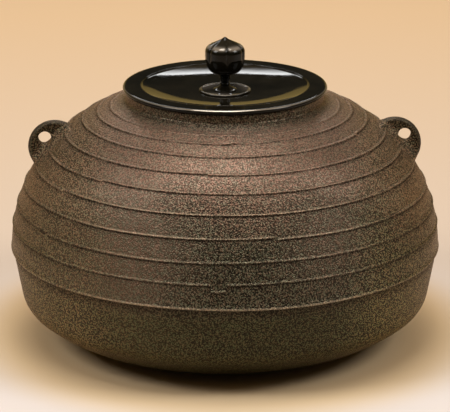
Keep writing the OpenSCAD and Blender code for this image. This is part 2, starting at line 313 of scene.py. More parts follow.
def lineThreads(turn, joinTurn, lineRadius):
    # Drift: each line wanders sideways round the pot by soft noise, and its ends miss each other at the
    # join. Strength: its height varies by soft noise, plus a hill for the blob at the join.
    count = len(lines["gap"])
    sinceJoin = (turn[None, :] - joinTurn[:, None]) / (2 * math.pi) % 1
    fromJoin = np.minimum(sinceJoin, 1 - sinceJoin)
    wander = [softNoise(turn, lines["wanderSeed"] + i, lines["wanderWaves"]) for i in range(count)]
    drift = np.array(lines["joinMiss"])[:, None] * (0.5 - sinceJoin) + lines["wander"] * np.array(wander)
    varies = [softNoise(turn, lines["variesSeed"] + i, lines["variesWaves"]) for i in range(count)]
    strength = 1 + lines["varies"] * np.array(varies)
    alongPot = fromJoin * 2 * math.pi * lineRadius[:, None]
    atJoin = hill(alongPot, 0, np.array(lines["blobWidth"])[:, None])
    strength = np.clip(strength + np.array(lines["joinBlob"])[:, None] * atJoin, lines["least"], None)
    # the lowest thread broke at its join: a short piece of it lies lower, with a gap at both ends
    fromPiece = fromJoin[0] * 360 / lines["pieceHalf"]
    drift[0] -= lines["pieceDrop"] * slope(fromPiece, *lines["pieceStep"])
    strength[0] *= slope(np.abs(fromPiece - 1), 0, lines["pieceGap"])
    # the top one is flat in places
    middle, swing = lines["topPatches"]
    strength[-1] *= np.clip(middle + swing * softNoise(turn, lines["topSeed"], lines["topWaves"]), 0, 1)
    return drift, strength, atJoin


def shoulderRows(count):
    # Each row belongs to a stop, which is the ridge or a line. It lies a share of the way to the next
    # stop or, on a line, an offset along the shoulder from it.
    beads = np.array(lines["rows"]) * lines["halfWidth"]
    between = np.array(lines["between"])
    stop = np.repeat(np.arange(count + 1), [between.size] + [beads.size + between.size] * count)
    share = np.concatenate([between] + [0 * beads, between] * count)
    offset = np.concatenate([0 * between] + [beads, 0 * between] * count)
    return stop, share[:, None], offset[:, None]


def lineRelief(across, rowStop, stops, strength, atJoin, onSide):
    # a hill of plus one on the crest of a line, rubbed and lightened as wear and a painted highlight,
    # less a hill of one of painted shade in the angle under it, both by the line's height there
    worn, wornSide, shaded = [
        np.concatenate([[0], lines[key], [0]])[rowStop][:, None]
        for key in ("worn", "wornSide", "shaded")
    ]
    atRidge, drop = lines["crestAt"]
    crestAt = (atRidge - drop * np.sin(np.radians(stops)))[rowStop][:, None]
    crest = (worn * (1 - onSide) + wornSide * onSide) * hill(across, crestAt, lines["crestWidth"])
    frontWidth, sideWidth = lines["footWidth"]
    footWidth = frontWidth + (sideWidth - frontWidth) * onSide
    foot = (shaded * (1 - onSide) + onSide) * hill(across, lines["footAt"], footWidth)
    relief = crest - foot * (1 - atJoin[rowStop])
    return relief * np.clip(strength[rowStop] / lines["height"][0], 0, lines["mostRelief"])


def frontPatches(rows):
    # a painted sheen as a hill aside and up, on the left and the right of the front, and painted light
    # as a hill aside on the left of the front, with a slope that ends it above
    x, y, z = rows[:, :, 0], rows[:, :, 1], rows[:, :, 2]
    sideSheen = hill(np.abs(x), *kettle["paleAside"]) * hill(z, *kettle["paleHeight"])
    sideSheen = sideSheen * np.where(x < 0, *kettle["paleShare"]) * (y < 0)
    leftLight = hill(x, *kettle["leftLightAside"]) * slope(z, *kettle["leftLightBelow"]) * (y < 0)
    return sideSheen, leftLight


def makeKettle():
    # A turned surface: up the outside from the middle of the base, over the shoulder and the neck, and
    # down the inside. A shoulder row lies at its angle about the arc's centre, out by the arc's radius
    # and its lift, and a line's lift is its height times the root of (1 - across squared).
    arcCentre, arcRadius, neckAngle = shoulderArc()
    lower, follow, upper, inside = kettleOutlines()
    turn, joinTurn = kettleColumns()
    lineArc = np.cumsum(lines["gap"])
    lineRadius = arcCentre[0] + arcRadius * np.cos(lineArc / arcRadius)
    stops = np.concatenate([[0], np.degrees(lineArc / arcRadius), [neckAngle]])
    drift, strength, atJoin = lineThreads(turn, joinTurn, lineRadius)
    ridgeDrift = kettle["ridgeWander"] * softNoise(turn, kettle["ridgeSeed"], kettle["ridgeWaves"])
    flat = np.zeros((1, turn.size))
    drift = np.concatenate([ridgeDrift[None], drift, flat])
    strength = np.concatenate([flat, strength * np.array(lines["height"])[:, None], flat])
    atJoin = np.concatenate([flat, atJoin, flat])

    rowStop, share, offset = shoulderRows(len(lineArc))
    sideways = drift[rowStop] * (1 - share) + drift[rowStop + 1] * share + offset
    angle = stops[rowStop][:, None] * (1 - share) + stops[rowStop + 1][:, None] * share
    angle = np.radians(angle) + sideways / arcRadius
    onLine = share == 0
    across = offset / lines["halfWidth"]
    lift = np.where(onLine, np.sqrt(np.clip(1 - across ** 2, 0, None)) * strength[rowStop], 0)
    # the pot is a little uneven, as cast from a clay mould, but never stands outside the true form
    uneven = softNoise(turn, kettle["unevenSeed"], kettle["unevenWaves"]) - 1
    out = arcRadius + lift + kettle["unevenness"] * uneven * np.sin(2 * angle)
    allRound = np.ones(turn.size)
    radius = np.concatenate([
        np.outer(lower[:, 0], allRound),
        arcCentre[0] + out * np.cos(angle),
        np.outer(upper[:, 0], allRound),
        np.outer(inside[:, 0], allRound),
    ])
    height = np.concatenate([
        lower[:, 1:] + follow[:, None] * ridgeDrift,
        arcCentre[1] + out * np.sin(angle),
        np.outer(upper[:, 1], allRound),
        np.outer(inside[:, 1], allRound),
    ])
    rows = spinOutline(radius, height, turn)

    # wear and shade of the lines: above nothing on the crests of the ridge and the lines, as wear and a
    # painted highlight, and below it under them, as painted shade
    onSide = slope(np.abs(np.cos(turn)), *kettle["sideZone"])
    ridgeWearAndShade = np.array(kettle["ridgeWearAndShade"])[:, None]
    ridgeWearAndShade = np.where(ridgeWearAndShade > 0, ridgeWearAndShade * (1 - kettle["ridgeSideLoss"] * onSide), ridgeWearAndShade)
    relief = lineRelief(across, rowStop, stops, strength, atJoin, onSide)
    wearAndShade = np.zeros_like(radius)
    wearAndShade[len(lower) - len(ridgeWearAndShade): len(lower)] = ridgeWearAndShade
    wearAndShade[len(lower): len(lower) + len(rowStop)] = np.where(onLine, relief, 0)
    inner = np.zeros_like(radius)
    inner[-len(inside):] = 1
    sideSheen, leftLight = frontPatches(rows)
    marks = {"lineWearAndShade": wearAndShade, "innerSkin": inner, "paintedSheen": sideSheen, "leftLight": leftLight}
    return gridPiece("kettlePot", rows, "poles", marks)


lug = {
    "radius": 0.0155,
    "along": 0.0666,  # from the ridge, along the shoulder
    "sink": 0.0027,
    "holeRadius": 0.00375,
    "holeLift": 0.0052,
    "halfWeb": 0.0026,
    "rimSwell": 0.0003,
    "swellIn": 0.002,
    "swellWidth": 0.0017,
    "flare": 0.0062,
    "flareReach": 0.0046,
    "flareDepth": 0.0013,
    "buried": 0.0024,
    "holeRound": 0.0011,
    "rimRound": 0.0017,
    "rimShare": 0.6,  # the most of the face that the rim's round takes
    "rimPower": 0.8,
    "rimBand": 0.0030,
    "around": 160,
}


def thereAndBack(front, sign=1):
    # the rows of the front face out to the rim, then those of the rear face back again
    return np.concatenate([front, sign * front[-2::-1]])


def makeLug(name, side):
    # A ring round the hole. At each angle about the hole the section runs from the hole's rounded edge
    # over the front face to the rim and back along the rear face. Its half thickness is that of the web,
    # plus a flare by the square of the nearness to the shoulder, plus a hill inside the rim.
    arcCentre, arcRadius, _ = shoulderArc()
    tilt = lug["along"] / arcRadius
    around = shareAngles(lug["around"])
    outward = np.cos(around)
    upward = np.sin(around)
    offset = lug["holeLift"] + lug["sink"]
    discReach = -offset * outward + np.sqrt(lug["radius"] ** 2 - (offset * upward) ** 2)
    holeOut = arcRadius + lug["holeLift"]
    under = (holeOut * outward) ** 2 - holeOut ** 2 + (arcRadius - lug["buried"]) ** 2
    goesUnder = (outward < 0) & (under > 0)
    rootReach = np.where(goesUnder, -holeOut * outward - np.sqrt(np.clip(under, 0, None)), 1.0)
    reach = np.minimum(discReach, rootReach)

    bend = np.radians(np.linspace(0, 90, 6))
    hole = lug["holeRadius"]
    holeRound = lug["holeRound"]
    rimRound = np.minimum(lug["rimRound"], (reach - hole - holeRound) * lug["rimShare"])
    faceShare = np.linspace(0, 1, 12)[1:-1]
    nearHole = (hole + holeRound * (1 - np.cos(bend)))[:, None] + 0 * reach
    face = (hole + holeRound) + faceShare[:, None] * (reach - rimRound - hole - holeRound)
    nearRim = reach - rimRound + rimRound * np.sin(bend)[:, None]
    distance = np.concatenate([nearHole, face, nearRim])

    above = np.sqrt((holeOut + distance * outward) ** 2 + (distance * upward) ** 2) - arcRadius
    spread = np.clip(1 - np.clip(above, -lug["flareDepth"], None) / lug["flareReach"], 0, None) ** 2
    swell = hill(reach - distance, lug["swellIn"], lug["swellWidth"])
    half = lug["halfWeb"] + lug["flare"] * spread + lug["rimSwell"] * swell
    halfNearHole = half[: bend.size] - holeRound * (1 - np.sin(bend))[:, None]
    halfNearRim = half[-bend.size:] * np.cos(bend)[:, None] ** lug["rimPower"]
    half = np.concatenate([halfNearHole, half[bend.size: -bend.size], halfNearRim])

    onLug = slope(above, 0, lug["flareReach"])
    atRim = slope(reach - distance, lug["rimBand"], 0) * onLug
    marks = {"atRim": thereAndBack(atRim), "onLug": thereAndBack(onLug)}
    distance = thereAndBack(distance)
    out = holeOut + distance * outward
    up = distance * upward
    x = side * (arcCentre[0] + out * math.cos(tilt) - up * math.sin(tilt))
    z = arcCentre[1] + out * math.sin(tilt) + up * math.cos(tilt)
    return gridPiece(name, np.stack([x, thereAndBack(half, -1), z], axis=2), "loop", marks)


lid = {
    "bottom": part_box("lid")[0][2],
    "seatZ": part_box("kettle_body")[1][2],
    "radius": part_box("lid")[1][0],
    "rimThick": 0.003,
    "dishRadius": 0.0483,
    "dishDepth": 0.0038,
    "dishLip": 0.0006,
    "dishPower": 2.6,
    "dishLand": 0.0006,
    "lipStart": -76,
    "plateThick": 0.0025,
    "flangeRadius": 0.0507,
    "flangeThick": 0.003,
    "boreRadius": 0.0026,
    "softEdge": 0.0004,
    "wornAt": (51, 11),  # middle and width, up the round of the rim
    "wornLeast": 0.15,  # the share of it that is left at the two sides
    "columns": 480,
}


def makeLid():
    # The dish is flat in the middle, and rises to its lip by the way to the lip to the power dishPower;
    # the plate under it is the same curve, lower by the plate's thickness.
    top = lid["seatZ"] + lid["rimThick"]
    floor = top - lid["dishDepth"]
    lipZ = top - lid["dishLip"]
    land = seat["radius"] + lid["dishLand"]
    dish = lid["dishRadius"]
    plate = lid["plateThick"]
    flangeOut = lid["flangeRadius"]
    flangeIn = flangeOut - lid["flangeThick"]
    edge = lid["rimThick"] / 2
    soft = lid["softEdge"]
    bore = lid["boreRadius"]
    lipRadius = dish - soft
    rimRadius = lid["radius"] - edge

    def dishRun(way, drop):  # way: 0 at the land, 1 at the lip
        rise = (lipZ - floor) * way ** lid["dishPower"]
        return np.stack([land + way * (dish - land), floor - drop + rise], axis=1)

    way = np.linspace(0, 1, 44)
    outline = runTogether(
        straightRun((bore, floor), (land, floor), 6),
        dishRun(way * (lipRadius - land) / (dish - land), 0),
        arcRun((lipRadius, lipZ + soft), soft, lid["lipStart"], 0, 5),
        arcRun((dish + soft, top - soft), soft, 180, 90, 5),
        straightRun((dish + 2 * soft, top), (rimRadius, top), 8),
        arcRun((rimRadius, top - edge), edge, 90, -90, 15),
        straightRun((rimRadius, lid["seatZ"]), (flangeOut + soft, lid["seatZ"]), 4),
        straightRun((flangeOut, lid["seatZ"] - soft), (flangeOut, lid["bottom"] + soft), 4),
        arcRun((flangeOut - soft, lid["bottom"] + soft), soft, 0, -90, 4),
        arcRun((flangeIn + soft, lid["bottom"] + soft), soft, -90, -180, 4),
        dishRun(way[::-2] * (flangeIn - land) / (dish - land), plate),
        straightRun((land, floor - plate), (bore, floor - plate), 4),
    )
    turn = shareAngles(lid["columns"])
    rise = np.degrees(np.arctan2(outline[:, 1] - top + edge, outline[:, 0] - rimRadius))
    onRim = (outline[:, 0] > rimRadius) * hill(rise, *lid["wornAt"])
    frontAndBack = lid["wornLeast"] + (1 - lid["wornLeast"]) * np.sin(turn) ** 4
    marks = {"rubbed": onRim[:, None] * frontAndBack}
    return gridPiece("dishedLid", spinOutline(outline[:, :1], outline[:, 1:], turn), "loop", marks)


seat = {
    "radius": 0.0149,
    "height": 0.0011,
    "floor": 0.0005,
    "rimWidth": 0.0014,
    "rimEnd": 150,
    "footLift": 0.0001,
    "worn": (0.2, 0.18),  # middle and swing of the wear round the rim, in waves of a third of a turn
    "wornTurn": 0.6,
    "columns": 192,
}


def makeSeat():
    # a shallow saucer: flat underneath, a rounded rim, and a hollow that rises from the knob's foot
    # with the square of the way to the rim
    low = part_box("knob_seat")[0][2]
    rim = seat["rimWidth"] / 2
    bore = lid["boreRadius"]
    edge = arcRun((seat["radius"] - rim, low + seat["height"] - rim), rim, 0, seat["rimEnd"], 14)
    way = np.linspace(1, 0, 14)
    land = np.array([knob["footRadius"], low + seat["floor"]])
    hollow = land + (edge[-1] - land) * np.stack([way, way ** 2], axis=1)
    outline = runTogether(
        straightRun((bore, low), (seat["radius"] - rim, low), 3),
        straightRun((seat["radius"] - rim / 2, low + seat["footLift"]), edge[0], 3),
        edge,
        hollow,
        straightRun(land, (bore, land[1]), 4),
    )
    turn = shareAngles(seat["columns"])
    rimTop = low + seat["height"]
    middle, swing = seat["worn"]
    worn = middle + swing * np.sin(3 * turn + seat["wornTurn"])
    marks = {"rubbed": slope(outline[:, 1:], rimTop - rim, rimTop) * worn}
    return gridPiece("knobSaucer", spinOutline(outline[:, :1], outline[:, 1:], turn), "loop", marks)


knob = {
    "fruitRadius": 0.0115,
    "fruitLow": 0.0132,
    "fruitPower": 2 / 3.2,
    "fruitStart": 82,
    "crownRadius": 0.0046,
    "roofSlope": 25,
    "pipRadius": 0.0023,
    "pipHeight": 0.0016,
    "pipPower": 0.9,
    "footRadius": 0.0067,
    "footThick": 0.0006,
    "footEdge": 0.0003,
    "footFlare": 0.0024,
    "flarePower": 1.6,
    "stemRadius": 0.00245,
    "stemTop": 0.0032,
    "stemHeight": 0.0088,
    "collarRadius": 0.0036,
    "lowCollarRadius": 0.0031,
    "collarRound": 0.0008,
    "shankRadius": 0.0025,
    "peenRadius": 0.0042,
    "peenHeight": 0.0014,
    "grip": 0.0042,
    "lobes": 6,
    "grooveDepth": 0.085,
    "groovePower": 3,
    "grooveTurn": 5,
    "grooveStart": 0.65,  # share of the lower half, below the widest place
    "grooveRise": 0.006,
    "grooveEnd": 0.0018,  # below the pip
    "heldAt": 0.76,  # share of the crown's round, above the widest place
    "heldWidth": 0.0008,
    "heldMost": 0.5,
    "columns": 288,
}


def makeKnob():
    # The fruit's lower half is radius times cos^p and depth times sin^p; above it are a round shoulder,
    # a straight roof and a hollow pip, pipRadius times (1 - s)^p. Its grooves are where the sine of
    # three times the turn passes through nothing.
    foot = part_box("knob_seat")[0][2] + seat["floor"]
    footTop = foot + knob["footThick"]
    footRadius = knob["footRadius"]
    footEdge = knob["footEdge"]
    stem = knob["stemRadius"]
    fruitZ = footTop + knob["stemHeight"] + knob["fruitLow"]
    below = np.radians(np.linspace(knob["fruitStart"], 0, 34))
    power = knob["fruitPower"]
    lowHalf = np.stack([
        knob["fruitRadius"] * np.cos(below) ** power,
        fruitZ - knob["fruitLow"] * np.sin(below) ** power,
    ], axis=1)
    crownMiddle = (knob["fruitRadius"] - knob["crownRadius"], fruitZ)
    crown = arcRun(crownMiddle, knob["crownRadius"], 0, 90 - knob["roofSlope"], 16)
    roofRise = (crown[-1, 0] - knob["pipRadius"]) * math.tan(math.radians(knob["roofSlope"]))
    roofEnd = np.array([knob["pipRadius"], crown[-1, 1] + roofRise])
    share = np.linspace(0, 1, 12)
    pip = np.stack([
        knob["pipRadius"] * (1 - share) ** knob["pipPower"],
        roofEnd[1] + knob["pipHeight"] * share,
    ], axis=1)
    flare = np.stack([
        footRadius - (footRadius - stem) * share,
        footTop + knob["footFlare"] * share ** knob["flarePower"],
    ], axis=1)
    dome = np.radians(np.linspace(0, 90, 7))
    peenZ = foot - knob["grip"]
    peen = np.stack([
        knob["peenRadius"] * np.sin(dome),
        peenZ - knob["peenHeight"] * np.cos(dome),
    ], axis=1)
    ring = knob["collarRound"]
    collarZ = fruitZ - knob["fruitLow"] - ring
    lowCollarZ = footTop + knob["footFlare"] + ring
    outline = runTogether(
        peen,
        straightRun((knob["shankRadius"], peenZ), (knob["shankRadius"], foot), 3),
        arcRun((footRadius - footEdge, foot + footEdge), footEdge, -90, 0, 4),
        flare,
        arcRun((knob["lowCollarRadius"] - ring, lowCollarZ), ring, -90, 90, 9),
        straightRun((stem, lowCollarZ + ring), (knob["stemTop"], collarZ - ring), 5),
        arcRun((knob["collarRadius"] - ring, collarZ), ring, -90, 90, 9),
        lowHalf,
        crown,
        straightRun(crown[-1], roofEnd, 12),
        pip,
    )
    turn = shareAngles(knob["columns"])
    radius, height = outline[:, :1], outline[:, 1:]
    grooveLow = fruitZ - knob["grooveStart"] * knob["fruitLow"]
    onFruit = slope(height, grooveLow, grooveLow + knob["grooveRise"])
    onFruit = onFruit * slope(height, roofEnd[1], roofEnd[1] - knob["grooveEnd"])
    fromFront = turn + math.pi / 2 - math.radians(knob["grooveTurn"])
    groove = (1 - np.abs(np.sin(knob["lobes"] / 2 * fromFront))) ** knob["groovePower"]
    radius = radius * (1 - knob["grooveDepth"] * onFruit * groove)
    heldZ = fruitZ + knob["heldAt"] * knob["crownRadius"]
    held = knob["heldMost"] * hill(height, heldZ, knob["heldWidth"]) * (1 - groove) ** 2
    return gridPiece("fruitKnob", spinOutline(radius, height, turn), "poles", {"rubbed": held})


def newMaterial(name):
    # a node material: returns it with its tree, its shader and the piece's own coordinates
    material = bpy.data.materials.new(name)
    material.use_nodes = True
    tree = material.node_tree
    place = tree.nodes.new("ShaderNodeTexCoord").outputs["Object"]
    return material, tree, tree.nodes["Principled BSDF"], place


def feed(tree, value, socket):
    # links another node's output to a socket, or sets a number or a colour on it
    if isinstance(value, bpy.types.NodeSocket):
        tree.links.new(value, socket)
    elif isinstance(value, (int, float)):
        socket.default_value = value
    else:
        socket.default_value = (*value, 1)


def addSplit(tree, place):
    # the three coordinates of a place
    split = tree.nodes.new("ShaderNodeSeparateXYZ")
    tree.links.new(place, split.inputs["Vector"])
    return split.outputs["X"], split.outputs["Y"], split.outputs["Z"]


def addNoise(tree, place, scale, detail, roughness):
    # a cloudy value about one half
    noise = tree.nodes.new("ShaderNodeTexNoise")
    noise.inputs["Scale"].default_value = scale
    noise.inputs["Detail"].default_value = detail
    noise.inputs["Roughness"].default_value = roughness
    tree.links.new(place, noise.inputs["Vector"])
    return noise.outputs["Fac"]


def addRamp(tree, factor, stops, colours):
    # a colour for each stop of the factor, and an even way between them
    ramp = tree.nodes.new("ShaderNodeValToRGB")
    elements = ramp.color_ramp.elements
    while len(elements) < len(stops):
        elements.new(0.5)
    for element, stop, colour in zip(elements, stops, colours):
        element.position = stop
        element.color = (*colour, 1)
    tree.links.new(factor, ramp.inputs["Fac"])
    return ramp.outputs["Color"]


def addMix(tree, factor, first, second, blend="MIX"):
    # the first colour, with the second mixed over it or multiplied into it by the factor
    mix = tree.nodes.new("ShaderNodeMix")
    mix.data_type = "RGBA"
    mix.blend_type = blend
    feed(tree, factor, mix.inputs["Factor"])
    feed(tree, first, mix.inputs["A"])
    feed(tree, second, mix.inputs["B"])
    return mix.outputs["Result"]


def addMark(tree, name):
    # one of a piece's own attributes, nothing where the piece has none of that name
    mark = tree.nodes.new("ShaderNodeAttribute")
    mark.attribute_name = name
    return mark.outputs["Fac"]


def addMath(tree, operation, first, second, clamp=False):
    # one sum of two values, held between 0 and 1 if clamp is set
    maths = tree.nodes.new("ShaderNodeMath")
    maths.operation = operation
    maths.use_clamp = clamp
    feed(tree, first, maths.inputs[0])
    feed(tree, second, maths.inputs[1])
    return maths.outputs["Value"]


def addRange(tree, value, span, to=(0.0, 1.0), curve="SMOOTHSTEP"):
    # takes a value from one span to another, and holds it at both ends
    mapped = tree.nodes.new("ShaderNodeMapRange")
    mapped.interpolation_type = curve
    for key, number in zip(("From Min", "From Max", "To Min", "To Max"), (*span, *to)):
        mapped.inputs[key].default_value = number
    tree.links.new(value, mapped.inputs["Value"])
    return mapped.outputs["Result"]


def addBump(tree, shader, height, distance):
    # raises the surface by height times distance; returns the socket of the bump's strength
    bump = tree.nodes.new("ShaderNodeBump")
    bump.inputs["Distance"].default_value = distance
    tree.links.new(height, bump.inputs["Height"])
    tree.links.new(bump.outputs["Normal"], shader.inputs["Normal"])
    return bump.inputs["Strength"]


# Noises have a scale, a detail and a roughness. Zones are spans of a height, of the square of the way
# aside, or of a noise, over which a layer comes in. Stops are places on the sand, pits to grains.
castSkin = {
    "grain": (1650, 0.0, 0.5),
    "pits": (1120, 0.0, 0.5),
    "cloud": (17, 4.0, 0.55),
    "speck": (700, 2.0, 0.6),
    # the sand on the shoulder and below it, lighter above as partly its own colour and partly painted
    # light from above; the border drifts with the clouds, and dips at the sides as a painted sheen on
    # the flanks
    "high": ((0.080, 0.057, 0.043), (0.165, 0.112, 0.084), (0.280, 0.193, 0.149)),
    "highStops": (0.395, 0.50, 0.605),
    "low": ((0.004, 0.0054, 0.0034), (0.042, 0.0435, 0.026), (0.152, 0.137, 0.094)),
    "lowStops": (0.44, 0.505, 0.57),
    "zone": (0.110, 0.146),
    "zoneDrift": 0.045,
    "zoneDip": 1.7,
    # neck: painted shade under the lid's rim, the darker olive sand mixed over the neck
    "neckZone": (0.137, 0.141),
    "neckMost": 0.75,
    # patches of painted light at the front: the pale ones, a painted sheen, have shoulder sand, and both
    # are mixed with one flat tone
    "paleMost": 0.7,
    "paleFlat": 0.6,
    "paleTone": (0.125, 0.093, 0.067),
    "leftLightFlat": 0.5,
    "leftLightTone": (0.180, 0.133, 0.087),
    # the flanks' tint at the foot and higher up, and their rough grit
    "flankZone": (0.003, 0.0075),
    "flankHeight": (0.055, 0.105),
    "flank": ((1.07, 1.015, 0.76), (0.94, 0.985, 0.86)),
    "gritZone": (0.118, 0.132),
    "gritDip": 2.5,
    "gritBorder": 3.0,
    "grit": ((0.26, 0.29, 0.26), (1.16, 1.13, 1.08)),
    "gritStops": (0.45, 0.56),
    "flankGrit": ((0.60, 0.61, 0.60), (1.40, 1.37, 1.34)),
    "flankGritStops": (0.44, 0.57),
    # stains, soot under the ridge with its own grit, taken off at the flanks as painted light from the
    # sides, and coloured specks
    "stainZone": (0.3, 0.7),
    "stainMost": 0.45,
    "stain": (0.55, 0.52, 0.44),
    "sootZone": (0.045, 0.057),
    "sootFlat": 0.22,
    "sootTone": (0.048, 0.046, 0.028),
    "soot": (0.54, 0.59, 0.42),
    "flankLight": 0.4,
    "underZone": (0.001, 0.006),
    "underShare": (0.25, 1.0),
    "underGrit": ((0.42, 0.42, 0.42), (1.66, 1.64, 1.60)),
    "specks": ((1.12, 0.93, 0.88), (0.90, 1.05, 0.98)),
    "speckStops": (0.42, 0.58),
    # wear and a painted highlight on the crests of the lines, painted shade under them (hollow), the
    # lugs darker and their rims darker and smoother, and the plain inside
    "crest": (2.8, 2.6, 2.4),
    "bareMost": 0.5,
    "bare": (0.40, 0.32, 0.235),
    "hollow": (0.006, 0.005, 0.003),
    "hollowZone": (0.43, 0.58),
    "hollowShare": (1.0, 0.6),
    "lugDark": (0.58, 0.62, 0.56),
    "handledZone": (0.1, 0.9),
    "handledMost": 0.75,
    "handled": (0.030, 0.028, 0.021),
    "inside": (0.030, 0.026, 0.022),
    # shine and bump
    "glossZone": (0.40, 0.60),
    "roughness": (0.42, 0.31),
    "hollowDull": 0.4,
    "sootDull": 0.12,
    "gritDull": 0.10,
    "metallic": 0.45,
    "shine": 0.4,
    "shineTint": (1.0, 0.72, 0.56),
    "grainBump": 0.0009,
    "crispZone": (0.045, 0.058),
    "crisp": (0.6, 1.0),
    "shoulderSmooth": 0.6,
    "gritCrisp": 0.6,
}


def skinZones(tree, place):
    # where each layer of the skin lies, from nothing to one: by height, by the square of the way aside,
    # by the clouds and by the pot's own marks; sand is the mean of the grains and the pits
    x, _, height = addSplit(tree, place)
    aside = addMath(tree, "MULTIPLY", x, x)
    grain = addNoise(tree, place, *castSkin["grain"])
    pits = addNoise(tree, place, *castSkin["pits"])
    sand = addMath(tree, "MULTIPLY", addMath(tree, "ADD", grain, pits), 0.5)
    cloud = addNoise(tree, place, *castSkin["cloud"])
    drifted = addMath(tree, "ADD", height, addMath(tree, "MULTIPLY", cloud, castSkin["zoneDrift"]))
    dipped = addMath(tree, "ADD", drifted, addMath(tree, "MULTIPLY", aside, castSkin["zoneDip"]))
    ruddyAndLit = addRange(tree, dipped, castSkin["zone"])
    sideSheen = addMark(tree, "paintedSheen")
    onFlank = addRange(tree, aside, castSkin["flankZone"])
    # rough grit lies high on the flanks and along the border of the two sands, but not on the pale
    # patches of painted sheen
    gritHeight = addMath(tree, "ADD", height, addMath(tree, "MULTIPLY", aside, castSkin["gritDip"]))
    gritty = addMath(tree, "MULTIPLY", onFlank, addRange(tree, gritHeight, castSkin["gritZone"]))
    border = addMath(tree, "MULTIPLY", ruddyAndLit, addMath(tree, "SUBTRACT", 1.0, ruddyAndLit))
    border = addMath(tree, "MULTIPLY", border, castSkin["gritBorder"])
    gritty = addMath(tree, "SUBTRACT", addMath(tree, "MAXIMUM", gritty, border), sideSheen, True)
    # the soot is taken off towards the flanks as painted light from the sides, and the grit under the
    # ridge is stronger there
    sooty = addRange(tree, height, castSkin["sootZone"], (1.0, 0.0))
    flankLightShare = addMath(tree, "MULTIPLY", onFlank, castSkin["flankLight"])
    underShare = addRange(tree, aside, castSkin["underZone"], castSkin["underShare"])
    # the lines' mark: wear and a painted highlight on their crests, painted shade under them
    wearAndShade = addMark(tree, "lineWearAndShade")
    sunk = addMath(tree, "MULTIPLY", wearAndShade, -1.0, True)
    hollowShare = addRange(tree, sand, castSkin["hollowZone"], castSkin["hollowShare"])
    handledTo = (0.0, castSkin["handledMost"])
    return {
        "height": height,
        "sand": sand,
        "ruddyAndLit": ruddyAndLit,
        "sideSheen": sideSheen,
        # painted shade under the lid's rim
        "neck": addRange(tree, height, castSkin["neckZone"], (0.0, castSkin["neckMost"])),
        "flank": onFlank,
        "upFlank": addRange(tree, height, castSkin["flankHeight"]),
        "gritty": gritty,
        "flankGrit": addMath(tree, "SUBTRACT", onFlank, gritty, True),
        "stained": addRange(tree, cloud, castSkin["stainZone"], (0.0, castSkin["stainMost"])),
        "sooty": sooty,
        "sootLessFlankLight": addMath(tree, "MULTIPLY", sooty, addMath(tree, "SUBTRACT", 1.0, flankLightShare)),
        "underGrit": addMath(tree, "MULTIPLY", sooty, underShare),
        "rubbed": addMath(tree, "MULTIPLY", wearAndShade, 1.0, True),
        "sunk": addMath(tree, "MULTIPLY", sunk, hollowShare),
        "handled": addRange(tree, addMark(tree, "atRim"), castSkin["handledZone"], handledTo),
    }


def skinColour(tree, place, zones):
    # layers from the sand upwards: each is mixed over the colour so far, or multiplied into it
    sand = zones["sand"]
    high = addRamp(tree, sand, castSkin["highStops"], castSkin["high"])
    low = addRamp(tree, sand, castSkin["lowStops"], castSkin["low"])
    grit = addRamp(tree, sand, castSkin["gritStops"], castSkin["grit"])
    flankGrit = addRamp(tree, sand, castSkin["flankGritStops"], castSkin["flankGrit"])
    underGrit = addRamp(tree, sand, castSkin["flankGritStops"], castSkin["underGrit"])
    flank = addRamp(tree, zones["upFlank"], (0.0, 1.0), castSkin["flank"])
    speck = addNoise(tree, place, *castSkin["speck"])
    specks = addRamp(tree, speck, castSkin["speckStops"], castSkin["specks"])
    paler = addMath(tree, "MULTIPLY", zones["sideSheen"], castSkin["paleMost"])
    paleFlat = addMath(tree, "MULTIPLY", zones["sideSheen"], castSkin["paleFlat"])
    leftLightFlat = addMath(tree, "MULTIPLY", addMark(tree, "leftLight"), castSkin["leftLightFlat"])
    sootFlat = addMath(tree, "MULTIPLY", zones["sooty"], castSkin["sootFlat"])
    bare = addMath(tree, "MULTIPLY", zones["rubbed"], castSkin["bareMost"])
    # the lighter, redder shoulder sand over the darker olive sand: partly the skin's own colour and
    # partly painted light from above, and the painted sheen of the pale patches
    colour = addMix(tree, addMath(tree, "MAXIMUM", zones["ruddyAndLit"], paler), low, high)
    for share, layer, blend in (
        # painted sheen: one flat tone over the pale patches
        (paleFlat, castSkin["paleTone"], "MIX"),
        # painted shade under the lid's rim
        (zones["neck"], low, "MIX"),
        (zones["flank"], flank, "MULTIPLY"),
        # painted light on the left of the front
        (leftLightFlat, castSkin["leftLightTone"], "MIX"),
        (zones["gritty"], grit, "MULTIPLY"),
        (zones["flankGrit"], flankGrit, "MULTIPLY"),
        (zones["stained"], castSkin["stain"], "MULTIPLY"),
        (sootFlat, castSkin["sootTone"], "MIX"),
        # soot, taken off at the flanks as painted light from the sides
        (zones["sootLessFlankLight"], castSkin["soot"], "MULTIPLY"),
        (zones["underGrit"], underGrit, "MULTIPLY"),
        (addMark(tree, "onLug"), castSkin["lugDark"], "MULTIPLY"),
        (1.0, specks, "MULTIPLY"),
        # the crests lightened as wear and a painted highlight, bare iron on them, and painted shade
        # under the lines
        (zones["rubbed"], castSkin["crest"], "MULTIPLY"),
        (bare, castSkin["bare"], "MIX"),
        (zones["sunk"], castSkin["hollow"], "MIX"),
        (zones["handled"], castSkin["handled"], "MIX"),
        (addMark(tree, "innerSkin"), castSkin["inside"], "MIX"),
    ):
        colour = addMix(tree, share, colour, layer, blend)
    return colour


